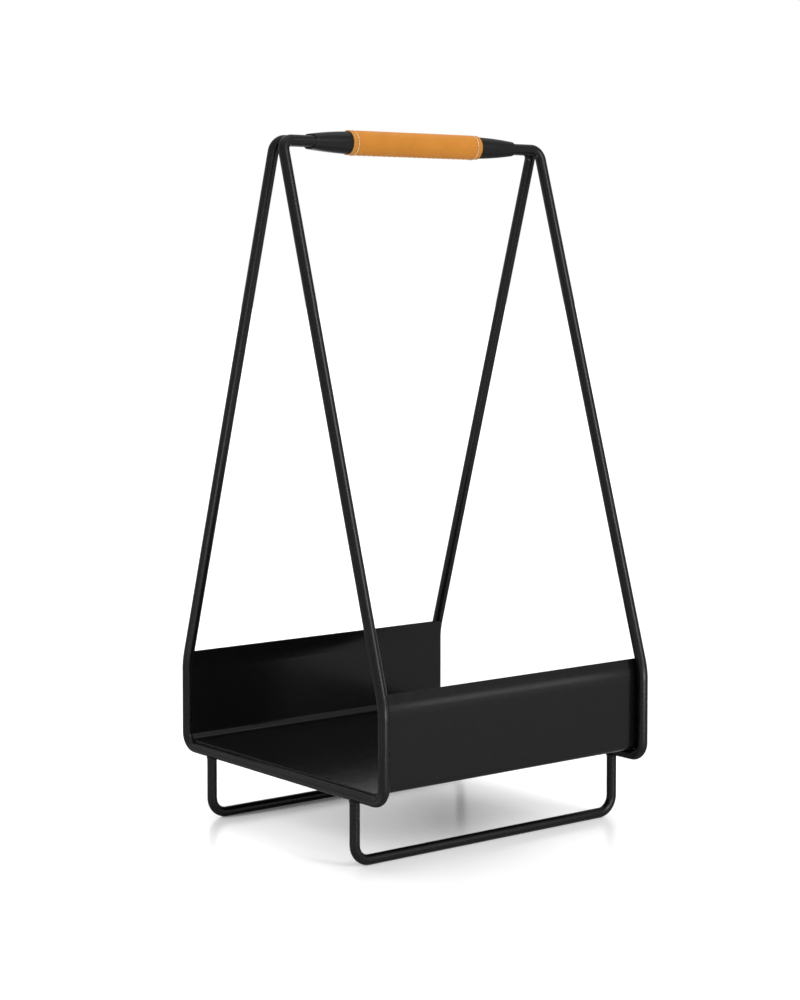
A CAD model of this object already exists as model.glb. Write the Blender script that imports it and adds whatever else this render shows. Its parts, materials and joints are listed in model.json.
import json
import math

import bmesh
import bpy
import numpy as np
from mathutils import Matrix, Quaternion, Vector


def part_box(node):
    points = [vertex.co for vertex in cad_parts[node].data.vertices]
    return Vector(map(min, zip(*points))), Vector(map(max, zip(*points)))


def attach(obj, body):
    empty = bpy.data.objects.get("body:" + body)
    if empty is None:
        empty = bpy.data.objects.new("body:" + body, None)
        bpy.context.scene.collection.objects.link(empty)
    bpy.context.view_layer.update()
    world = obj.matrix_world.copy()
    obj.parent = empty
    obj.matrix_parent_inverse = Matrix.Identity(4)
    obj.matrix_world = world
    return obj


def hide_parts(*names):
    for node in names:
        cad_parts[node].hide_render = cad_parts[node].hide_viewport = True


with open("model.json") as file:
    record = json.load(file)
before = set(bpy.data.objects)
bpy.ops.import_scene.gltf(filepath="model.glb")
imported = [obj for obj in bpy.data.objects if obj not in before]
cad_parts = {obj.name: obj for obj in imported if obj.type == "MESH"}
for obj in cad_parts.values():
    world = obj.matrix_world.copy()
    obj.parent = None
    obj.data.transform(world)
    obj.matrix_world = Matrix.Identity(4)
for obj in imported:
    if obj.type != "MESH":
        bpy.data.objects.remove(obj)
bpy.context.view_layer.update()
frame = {"nodes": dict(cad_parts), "record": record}

# Firewood rack: black bent-rod frames, a bent-sheet tray and a handle wrapped in stitched tan leather.
# The frame gives the sizes. Lengths are in metres, X runs along the handle, Y to the back, Z up.
MM = 0.001
BODY = "root"
RACK_MIDDLE = Vector((0, 0, 0.35))
COAT_COLOUR = (0.0172, 0.0172, 0.0176)
DARK_TAN = (0.30, 0.09, 0.010)      # leather in its creases and stitched grooves

# Light of the studio
SKY_LIGHT = 0.45
FLOOR_GLOW = ((0.12, 0.08), (0.26, 0.38), (0.50, 0.37), (1.0, 0.14))    # openness to the sky, and glow
FAR_FLOOR = (0.8, 3.5)      # distances from the rack between which the floor's glow rises
FAR_GLOW = 0.45
OPEN_FLOOR = (0.55, 0.92)   # openness between which the floor is lifted to white for the camera
OPEN_LIFT = 0.2
CARD_HEIGHT = 2 * MM        # of the cards that lie on the floor

# Leather grip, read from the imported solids
CORE_CLEARANCE = 0.06 * MM
grip_low, grip_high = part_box("leather_grip")
core_low, core_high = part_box("handle_core")
ring_low, ring_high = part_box("right_edge_stitches")
HANDLE_HEIGHT = (core_low.z + core_high.z) / 2
GRIP_REACH = grip_high.x
LEATHER_OUTSIDE = grip_high.z - HANDLE_HEIGHT
LEATHER_INSIDE = core_high.z - HANDLE_HEIGHT + CORE_CLEARANCE
STITCH_PLACE = (ring_low.x + ring_high.x) / 2
THREAD = ring_high.x - ring_low.x

# Forms of the leather
SEAM_GAP = 0.5 * MM         # between the two edges of the wrap, underneath
EDGE_ROUND = 0.45 * MM      # rounding of the cut edges
GROOVE_DEPTH = 0.34 * MM    # where a ring of stitches pulls the leather in
GROOVE_WIDTH = 0.85 * MM
PULL_DEPTH = 0.10 * MM      # gentle slope beside the groove
PULL_WIDTH = 2.6 * MM
PUCKER_DEPTH = 0.10 * MM    # creases that run out from the stitch holes
PUCKER_WIDTH = 1.9 * MM
SEAM_DIP = 0.40 * MM
SEAM_DIP_WIDTH = 2.2 * MM
DIMPLE_DEPTH = 0.25 * MM    # at the ends of the seam stitches
DIMPLE_WIDTH = 0.8 * MM
WAVE_DEPTH = 0.05 * MM      # unevenness of a wrap made by hand
WAVE_LENGTH = 17 * MM       # along the handle, over one radian
WAVE_TWIST = 40 * MM

# Stitches
EDGE_STITCHES = 24          # in a ring
EDGE_STITCH_LENGTH = 2.7 * MM
EDGE_STITCH_SLANT = 0.12 * MM
SEAM_STITCHES = 24
SEAM_STITCH_LENGTH = 5.0 * MM
SEAM_STITCH_SLANT = 0.35 * MM
EDGE_PITCH = 2 * math.pi / EDGE_STITCHES
SEAM_PITCH = 2 * STITCH_PLACE / SEAM_STITCHES
PLY_RADIUS = 0.36 * THREAD  # the thread is twisted from two plies
PLY_OFFSET = 0.22 * THREAD


def add_node(tree, kind, inputs=None, **settings):
    """Node with its settings; its inputs are values, or sockets to link from."""
    node = tree.nodes.new(kind)
    for name, value in settings.items():
        setattr(node, name, value)
    for name, value in (inputs or {}).items():
        if isinstance(value, bpy.types.NodeSocket):
            tree.links.new(value, node.inputs[name])
        else:
            node.inputs[name].default_value = value
    return node


def new_material(name, **shader_inputs):
    """Material with a principled shader and the object's own coordinates."""
    material = bpy.data.materials.new(name)
    material.use_nodes = True
    tree = material.node_tree
    shader = tree.nodes["Principled BSDF"]
    for socket, value in shader_inputs.items():
        shader.inputs[socket.replace("_", " ")].default_value = value
    place = add_node(tree, "ShaderNodeTexCoord").outputs["Object"]
    return material, tree, shader, place


def noise(tree, place, grain, detail=2.0, roughness=0.5):
    """Noise whose blobs are about one grain across."""
    inputs = {"Vector": place, "Scale": 1 / grain, "Detail": detail, "Roughness": roughness}
    return add_node(tree, "ShaderNodeTexNoise", inputs).outputs["Fac"]


def ramp(tree, value, start, end, low, high):
    """Value from low to high as another goes from its start to its end, and flat outside."""
    inputs = {"Value": value, "From Min": start, "From Max": end, "To Min": low, "To Max": high}
    return add_node(tree, "ShaderNodeMapRange", inputs).outputs["Result"]


def spread(tree, value, low, high):
    """The middle of a noise's range, stretched to run from low to high."""
    return ramp(tree, value, 0.3, 0.7, low, high)


def tint(tree, value, first, second):
    """Colour that goes from the first to the second, colours or sockets, as the value goes from 0 to 1."""
    mix = add_node(tree, "ShaderNodeMix", data_type="RGBA")
    tree.links.new(value, mix.inputs["Factor"])
    for socket, colour in ((mix.inputs["A"], first), (mix.inputs["B"], second)):
        if isinstance(colour, bpy.types.NodeSocket):
            tree.links.new(colour, socket)
        else:
            socket.default_value = (*colour, 1)
    return mix.outputs["Result"]


def bump(tree, height, depth, normal=None):
    """Bump from a height of 0 to 1 that stands for a real depth."""
    inputs = {"Height": height, "Distance": depth, "Strength": 1.0}
    if normal is not None:
        inputs["Normal"] = normal
    return add_node(tree, "ShaderNodeBump", inputs).outputs["Normal"]


def powder_coat(name, roughness, grain, grain_depth, contrast, ripple_depth=0.0):
    """Satin black coat on steel: a sandy grain over a soft orange peel, and ripples on welds.

    It is mostly metallic with a dark edge tint, because the real coat gains little gloss at a flat angle.
    """
    edge_tint = (0.52, 0.52, 0.52, 1)
    edge_radius = 0.35 * MM
    mottle_size = 9 * MM
    mottle_change = 0.03
    peel_size = 5 * MM
    peel_depth = 0.010 * MM
    ripple_scale = 240
    material, tree, shader, place = new_material(
        name, Metallic=0.75, Specular_IOR_Level=0.1, Specular_Tint=edge_tint
    )
    sand = noise(tree, place, grain, detail=2)
    dark = [(1 - contrast) * channel for channel in COAT_COLOUR]
    light = [(1 + contrast) * channel for channel in COAT_COLOUR]
    tree.links.new(tint(tree, spread(tree, sand, 0, 1), dark, light), shader.inputs["Base Color"])
    mottle = noise(tree, place, mottle_size, detail=4)
    gloss = spread(tree, mottle, roughness - mottle_change, roughness + mottle_change)
    tree.links.new(gloss, shader.inputs["Roughness"])
    edges = add_node(tree, "ShaderNodeBevel", {"Radius": edge_radius}, samples=4)
    normal = bump(tree, noise(tree, place, peel_size, detail=1), peel_depth, edges.outputs["Normal"])
    if ripple_depth:
        inputs = {"Vector": place, "Scale": ripple_scale, "Distortion": 2.0}
        ripples = add_node(tree, "ShaderNodeTexWave", inputs, bands_direction="Y")
        normal = bump(tree, ripples.outputs["Fac"], ripple_depth, normal)
    tree.links.new(bump(tree, sand, grain_depth, normal), shader.inputs["Normal"])
    return material


def tan_leather():
    """Tan leather with a fine crease pattern, darker in the stitched grooves and paler at its cut edges."""
    material, tree, shader, place = new_material("tan_leather_grain", Specular_IOR_Level=0.1)
    patch_size = 25 * MM
    crease_size = 1.1 * MM
    crease_depth = 0.03 * MM
    crease_shade = 0.22
    groove_shade = 0.12
    edge_shade = 0.6
    edge_start = GRIP_REACH - 0.5 * MM
    edge_end = GRIP_REACH - 0.2 * MM
    pore_size = 0.4 * MM
    pore_depth = 0.02 * MM
    patches = noise(tree, place, patch_size, detail=4)
    colour = tint(tree, spread(tree, patches, 0, 1), (0.580, 0.219, 0.027), (0.645, 0.257, 0.037))
    cells = add_node(
        tree, "ShaderNodeTexVoronoi", {"Vector": place, "Scale": 1 / crease_size}, feature="DISTANCE_TO_EDGE"
    )
    smooth = ramp(tree, cells.outputs["Distance"], 0, 0.15, 0, 1)
    colour = tint(tree, ramp(tree, smooth, 0, 1, crease_shade, 0), colour, DARK_TAN)
    along = add_node(tree, "ShaderNodeSeparateXYZ", {"Vector": place}).outputs["X"]
    from_middle = add_node(tree, "ShaderNodeMath", {0: along}, operation="ABSOLUTE").outputs[0]
    in_groove = add_node(
        tree, "ShaderNodeMath", {0: from_middle, 1: STITCH_PLACE, 2: GROOVE_WIDTH}, operation="COMPARE"
    ).outputs[0]
    colour = tint(tree, ramp(tree, in_groove, 0, 1, 0, groove_shade), colour, DARK_TAN)
    cut_edge = ramp(tree, from_middle, edge_start, edge_end, 0, edge_shade)
    colour = tint(tree, cut_edge, colour, (0.78, 0.46, 0.17))
    tree.links.new(colour, shader.inputs["Base Color"])
    tree.links.new(spread(tree, patches, 0.50, 0.60), shader.inputs["Roughness"])
    creases = bump(tree, smooth, crease_depth)
    pores = bump(tree, noise(tree, place, pore_size, detail=3), pore_depth, creases)
    tree.links.new(pores, shader.inputs["Normal"])
    return material


def waxed_thread():
    material, tree, shader, place = new_material("waxed_thread", Specular_IOR_Level=0.2, Roughness=0.6)
    fibres = noise(tree, place, 0.25 * MM, detail=3)
    colour = tint(tree, spread(tree, fibres, 0, 1), (0.88, 0.70, 0.46), (0.98, 0.84, 0.62))
    tree.links.new(colour, shader.inputs["Base Color"])
    tree.links.new(bump(tree, fibres, 0.03 * MM), shader.inputs["Normal"])
    return material


def bare_steel():
    material, tree, shader, place = new_material("drawn_steel", Metallic=1.0)
    stretch = add_node(tree, "ShaderNodeMapping", {"Vector": place, "Scale": (0.02, 1.0, 1.0)})
    streaks = noise(tree, stretch.outputs["Vector"], 0.3 * MM, detail=3)
    colour = tint(tree, spread(tree, streaks, 0, 1), (0.42, 0.42, 0.43), (0.52, 0.52, 0.53))
    tree.links.new(colour, shader.inputs["Base Color"])
    tree.links.new(spread(tree, streaks, 0.25, 0.4), shader.inputs["Roughness"])
    return material


rod_coat = powder_coat("rod_coat", roughness=0.29, grain=1.3 * MM, grain_depth=0.05 * MM, contrast=0.24)
taper_coat = powder_coat("taper_coat", roughness=0.32, grain=0.8 * MM, grain_depth=0.015 * MM, contrast=0.12)
weld_coat = powder_coat(
    "weld_coat", roughness=0.34, grain=1.0 * MM, grain_depth=0.04 * MM, contrast=0.2, ripple_depth=0.12 * MM
)
sheet_coat = powder_coat("sheet_coat", roughness=0.19, grain=1.2 * MM, grain_depth=0.002 * MM, contrast=0.05)
leather = tan_leather()
thread = waxed_thread()
steel = bare_steel()

SLOT_FINISH = {
    "black_powder_coat": rod_coat,
    "black_sheet": sheet_coat,
    "tan_leather": leather,
    "cream_thread": thread,
    "bare_steel": steel,
}


def finish_of(part):
    """Material of a node: a coat of its own for tapers and welds, or else its slot's."""
    if "taper" in part["node"]:
        return taper_coat
    if "weld" in part["node"]:
        return weld_coat
    return SLOT_FINISH[part["material_slot"]]


for part in frame["record"]["subparts"]:
    node = frame["nodes"][part["node"]]
    for slot in node.material_slots:
        slot.material = finish_of(part)


# Leather wrap
def bell(distance, width):
    """Smooth bump, 1 in its middle and fading out over the width."""
    return np.exp(-((distance / width) ** 2))


def rounded(distance):
    """How much a cut edge is rounded off, at a distance from that edge."""
    near = np.clip(1 - distance / EDGE_ROUND, 0, 1)
    return EDGE_ROUND * (1 - np.sqrt(1 - near**2))


def leather_face(x, turn):
    """Radius of the leather's outer face. The turn runs round the handle from the seam, underneath."""
    from_ring = np.abs(x) - STITCH_PLACE
    from_seam = LEATHER_OUTSIDE * np.minimum(turn, 2 * np.pi - turn)
    ring_hole = (0.5 + 0.5 * np.cos(turn / EDGE_PITCH * 2 * np.pi)) ** 2
    seam_hole = (0.5 - 0.5 * np.cos((x + STITCH_PLACE) / SEAM_PITCH * 2 * np.pi)) ** 6
    wave = np.sin(x / WAVE_LENGTH + 1.5 * np.sin(turn)) * np.cos(2 * turn + x / WAVE_TWIST)
    radius = LEATHER_OUTSIDE + WAVE_DEPTH * wave
    radius = radius - GROOVE_DEPTH * bell(from_ring, GROOVE_WIDTH) - PULL_DEPTH * bell(from_ring, PULL_WIDTH)
    radius = radius - PUCKER_DEPTH * bell(from_ring, PUCKER_WIDTH) * ring_hole
    radius = radius - SEAM_DIP * bell(from_seam, SEAM_DIP_WIDTH)
    radius = radius - DIMPLE_DEPTH * bell(from_seam - SEAM_STITCH_LENGTH / 2, DIMPLE_WIDTH) * seam_hole
    return radius - rounded(GRIP_REACH - np.abs(x)) - rounded(from_seam - SEAM_GAP / 2)


def edge_steps(length, fine_length, fine_step, coarse_step):
    """Places from 0 to a length, close together at both rounded ends."""
    corner = EDGE_ROUND * (1 - np.cos(np.linspace(0, np.pi / 2, 5)))
    fine = np.arange(EDGE_ROUND + fine_step, fine_length, fine_step)
    start = np.concatenate([corner, fine])
    count = math.ceil((length - 2 * fine_length) / coarse_step) + 1
    middle = np.linspace(fine_length, length - fine_length, count)
    return np.concatenate([start, middle, length - start[::-1]])


def new_piece(name, points, faces, material):
    """Smooth mesh that rides on the rack, with its faces turned outwards."""
    mesh = bpy.data.meshes.new(name)
    mesh.from_pydata(points, [], faces)
    work = bmesh.new()
    work.from_mesh(mesh)
    bmesh.ops.recalc_face_normals(work, faces=work.faces)
    work.to_mesh(mesh)
    work.free()
    mesh.materials.append(material)
    mesh.shade_smooth()
    mesh.set_sharp_from_angle(angle=math.radians(50))
    piece = bpy.data.objects.new(name, mesh)
    bpy.context.scene.collection.objects.link(piece)
    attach(piece, BODY)
    return piece


def outward(turn):
    """Unit vectors that point away from the handle's axis."""
    return np.stack([np.zeros_like(turn), -np.sin(turn), -np.cos(turn)], axis=-1)


def leather_sleeve():
    """Closed sheet of leather round the core, open at the seam."""
    length = 2 * GRIP_REACH
    x = edge_steps(length, fine_length=9 * MM, fine_step=0.25 * MM, coarse_step=1.2 * MM) - GRIP_REACH
    girth = 2 * np.pi * LEATHER_OUTSIDE - SEAM_GAP
    arc = edge_steps(girth, fine_length=4 * MM, fine_step=0.3 * MM, coarse_step=0.36 * MM) + SEAM_GAP / 2
    x, turn = np.meshgrid(x, arc / LEATHER_OUTSIDE, indexing="ij")
    axis = np.stack([x, np.zeros_like(x), np.full_like(x, HANDLE_HEIGHT)], axis=-1)
    outer = axis + outward(turn) * leather_face(x, turn)[..., None]
    inner = axis + outward(turn) * LEATHER_INSIDE
    rows, columns = x.shape
    points = np.concatenate([outer.reshape(-1, 3), inner.reshape(-1, 3)])
    under = rows * columns
    faces = []
    for row in range(rows - 1):
        for column in range(columns - 1):
            corner = row * columns + column
            face = (corner, corner + 1, corner + columns + 1, corner + columns)
            faces.append(face)
            faces.append(tuple(under + index for index in face))
    rim_starts = [*range(columns - 1), *range(under - columns, under - 1)]
    faces += [(index, index + 1, under + index + 1, under + index) for index in rim_starts]
    for row in range(rows - 1):
        for index in (row * columns, row * columns + columns - 1):
            faces.append((index, index + columns, under + index + columns, under + index))
    return new_piece("leather_wrap", points.tolist(), faces, leather)


# Stitches of twisted thread
def add_tube(points, faces, centre, across, along, radius, sides=7):
    """Closed tube along a row of centres, added to the lists of points and faces."""
    first = len(points)
    angle = np.arange(sides) / sides * 2 * np.pi
    ring = np.cos(angle)[:, None, None] * across + np.sin(angle)[:, None, None] * along
    rings = (centre + radius * ring).transpose(1, 0, 2)
    points.extend(rings.reshape(-1, 3).tolist())
    for step in range(len(centre) - 1):
        for side in range(sides):
            corner = first + step * sides + side
            beside = first + step * sides + (side + 1) % sides
            faces.append((corner, beside, beside + sides, corner + sides))
    last = first + (len(centre) - 1) * sides
    faces.append(tuple(range(first, first + sides)))
    faces.append(tuple(range(last, last + sides)))


def add_stitch(points, faces, x, turn, length, height, slant, dip=0.0):
    """Stitch of two twisted plies on an arc round the handle; its ends dive into the leather."""
    dive = 0.8 * MM
    turns = 0.35 * length / THREAD
    step = np.linspace(-1, 1, 17)
    out = outward(turn + step * length / 2 / height)
    along = np.array([[1.0, 0.0, 0.0]])
    radius = height - dip * bell(step * length / 2, SEAM_DIP_WIDTH) - dive * step**8
    centre = out * radius[:, None] + np.array([x, 0.0, HANDLE_HEIGHT])
    centre[:, 0] += slant * step
    for ply in (0, 1):
        twist = (turns * step + ply) * np.pi
        offset = np.cos(twist)[:, None] * out + np.sin(twist)[:, None] * along
        add_tube(points, faces, centre + PLY_OFFSET * offset, out, along, PLY_RADIUS)


def ring_of_stitches(name, side):
    points, faces = [], []
    height = LEATHER_OUTSIDE - GROOVE_DEPTH + 0.5 * THREAD
    for index in range(EDGE_STITCHES):
        turn = (index + 0.5) * EDGE_PITCH
        add_stitch(points, faces, side * STITCH_PLACE, turn, EDGE_STITCH_LENGTH, height, EDGE_STITCH_SLANT)
    return new_piece(name, points, faces, thread)


def row_of_stitches(name):
    points, faces = [], []
    height = LEATHER_OUTSIDE + 0.1 * THREAD
    for index in range(SEAM_STITCHES):
        x = (index + 0.5) * SEAM_PITCH - STITCH_PLACE
        add_stitch(points, faces, x, 0.0, SEAM_STITCH_LENGTH, height, SEAM_STITCH_SLANT, SEAM_DIP)
    return new_piece(name, points, faces, thread)


sleeve = leather_sleeve()
left_ring = ring_of_stitches("left_thread_ring", -1)
right_ring = ring_of_stitches("right_thread_ring", 1)
seam_row = row_of_stitches("seam_thread")
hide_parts("leather_grip")
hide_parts("left_edge_stitches")
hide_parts("right_edge_stitches")
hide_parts("grip_seam_stitches")


# Floor, light and camera
def seen_or_reflected(tree):
    """1 for rays from the camera, in reflections and through glass, and 0 for light on the rack."""
    path = add_node(tree, "ShaderNodeLightPath")
    seen = path.outputs["Is Camera Ray"]
    for kind in ("Is Glossy Ray", "Is Transmission Ray"):
        either = add_node(tree, "ShaderNodeMath", {0: seen, 1: path.outputs[kind]}, operation="MAXIMUM")
        seen = either.outputs[0]
    return seen


def floor_material():
    """White floor with a light shadow.

    What is seen of it also glows, by how open it is to the sky and how far from the rack it lies,
    so that the shadow stays light and the rest is white.
    """
    material = bpy.data.materials.new("studio_floor")
    material.use_nodes = True
    tree = material.node_tree
    shader = tree.nodes["Principled BSDF"]
    shader.inputs["Base Color"].default_value = (0.92, 0.92, 0.92, 1)
    shader.inputs["Roughness"].default_value = 0.22
    shader.inputs["Specular IOR Level"].default_value = 0.18
    openness = add_node(tree, "ShaderNodeAmbientOcclusion", {"Distance": 0.5}, samples=32).outputs["AO"]
    glow = add_node(tree, "ShaderNodeValToRGB", {"Fac": openness})
    stops = glow.color_ramp.elements
    stops[0].position = FLOOR_GLOW[0][0]
    stops[1].position = FLOOR_GLOW[-1][0]
    for share, _ in FLOOR_GLOW[1:-1]:
        stops.new(share)
    for stop, (_, level) in zip(stops, FLOOR_GLOW):
        stop.color = (level, level, level, 1)
    place = add_node(tree, "ShaderNodeTexCoord").outputs["Object"]
    away = add_node(tree, "ShaderNodeVectorMath", {0: place}, operation="LENGTH").outputs["Value"]
    far = ramp(tree, away, *FAR_FLOOR, 0, FAR_GLOW)
    near_and_far = add_node(tree, "ShaderNodeMath", {0: glow.outputs["Color"], 1: far}, operation="ADD")
    glowing = add_node(
        tree, "ShaderNodeMath", {0: seen_or_reflected(tree), 1: near_and_far.outputs[0]}, operation="MULTIPLY"
    )
    lift = ramp(tree, openness, *OPEN_FLOOR, 0, OPEN_LIFT)
    camera_ray = add_node(tree, "ShaderNodeLightPath").outputs["Is Camera Ray"]
    strength = add_node(
        tree, "ShaderNodeMath", {0: lift, 1: camera_ray, 2: glowing.outputs[0]}, operation="MULTIPLY_ADD"
    )
    shader.inputs["Emission Color"].default_value = (1, 1, 1, 1)
    tree.links.new(strength.outputs[0], shader.inputs["Emission Strength"])
    return material


def studio_floor():
    reach = 20.0
    mesh = bpy.data.meshes.new("studio_floor")
    corners = [(-reach, -reach, 0), (reach, -reach, 0), (reach, reach, 0), (-reach, reach, 0)]
    mesh.from_pydata(corners, [], [(0, 1, 2, 3)])
    mesh.materials.append(floor_material())
    floor = bpy.data.objects.new("studio_floor", mesh)
    bpy.context.scene.collection.objects.link(floor)


def studio_world():
    """Even light from all sides, white where it is seen."""
    world = bpy.data.worlds.new("studio_world")
    world.use_nodes = True
    tree = world.node_tree
    background = tree.nodes["Background"]
    background.inputs["Color"].default_value = (1, 1, 1, 1)
    inputs = {"Value": seen_or_reflected(tree), "To Min": SKY_LIGHT, "To Max": 1.0}
    strength = add_node(tree, "ShaderNodeMapRange", inputs).outputs["Result"]
    tree.links.new(strength, background.inputs["Strength"])
    bpy.context.scene.world = world


def softbox(name, location, width, height, radiance, faces=RACK_MIDDLE, heading=0, grid=180):
    """Rectangular lamp that faces a point, turned by its heading about the line to that point.

    Its grid hides it from directions outside that full angle. Both angles are in degrees.
    """
    away = Vector(location) - Vector(faces)
    turn = Quaternion((0, 0, 1), math.radians(heading))
    data = bpy.data.lights.new(name, "AREA")
    data.shape = "RECTANGLE"
    data.size = width
    data.size_y = height
    data.energy = radiance * math.pi * width * height
    data.spread = math.radians(grid)
    lamp = bpy.data.objects.new(name, data)
    lamp.location = location
    lamp.rotation_euler = (away.to_track_quat("Z", "Y") @ turn).to_euler()
    bpy.context.scene.collection.objects.link(lamp)
    return lamp


def reflector(name, **form):
    """Softbox that shows in glossy reflections and throws no light on the rack or the floor."""
    lamp = softbox(name, **form)
    lamp.visible_diffuse = False
    lamp.visible_transmission = False


def floor_card(name, x, y, **form):
    """Reflector that lies on the floor and faces up."""
    place = Vector((x, y, CARD_HEIGHT))
    reflector(name, location=place, faces=place + Vector((0, 0, 1)), **form)


def standing_card(name, x, y, z, **form):
    """Reflector that stands in front of the rack and faces straight back."""
    place = Vector((x, y, z))
    reflector(name, location=place, faces=place + Vector((0, 1, 0)), **form)


def photo_camera():
    """Camera of the photo. Half of the photo's vertical shift is taken by a slight tilt instead."""
    image_height = 1000         # pixels, the long side
    focal_length = 2281.3       # pixels
    shift = -120                # pixels
    yaw = math.radians(51.778)
    pitch = math.radians(2.922)
    data = bpy.data.cameras.new("camera")
    data.sensor_width = 36
    data.lens = focal_length / image_height * data.sensor_width
    data.shift_y = shift / image_height
    data.clip_end = 100
    camera = bpy.data.objects.new("camera", data)
    bpy.context.scene.collection.objects.link(camera)
    camera.location = (-1.3077, -1.6419, 0.5139)
    camera.rotation_euler = (math.pi / 2 - pitch, 0, yaw - math.pi / 2)
    bpy.context.scene.camera = camera


studio_floor()
studio_world()
softbox("overhead_softbox", location=(0.3, 0.3, 2.4), width=2.6, height=2.6, radiance=1.33)
softbox("front_softbox", location=(0.55, -2.22, 1.37), width=1.0, height=1.2, radiance=7.5)
reflector("front_sheen", location=(0.54, -2.18, 1.35), width=1.0, height=1.2, radiance=3)
reflector("low_strip", location=(0.345, -0.578, 0.155), width=0.24, height=0.067, radiance=3.4)
reflector("back_panel", location=(-0.1, 1.5, 0.65), width=2.8, height=1.3, radiance=0.7)
floor_card("left_card", -0.622, -0.474, width=0.776, height=0.11, radiance=16, heading=-54.8, grid=140)
standing_card("front_card", 0.03, -0.60, 0.11, width=0.46, height=0.12, radiance=1.8, grid=56)
floor_card("side_card", -0.47, 0.30, width=0.57, height=0.90, radiance=1.1, grid=150)
photo_camera()
bpy.context.scene.view_settings.view_transform = "Standard"
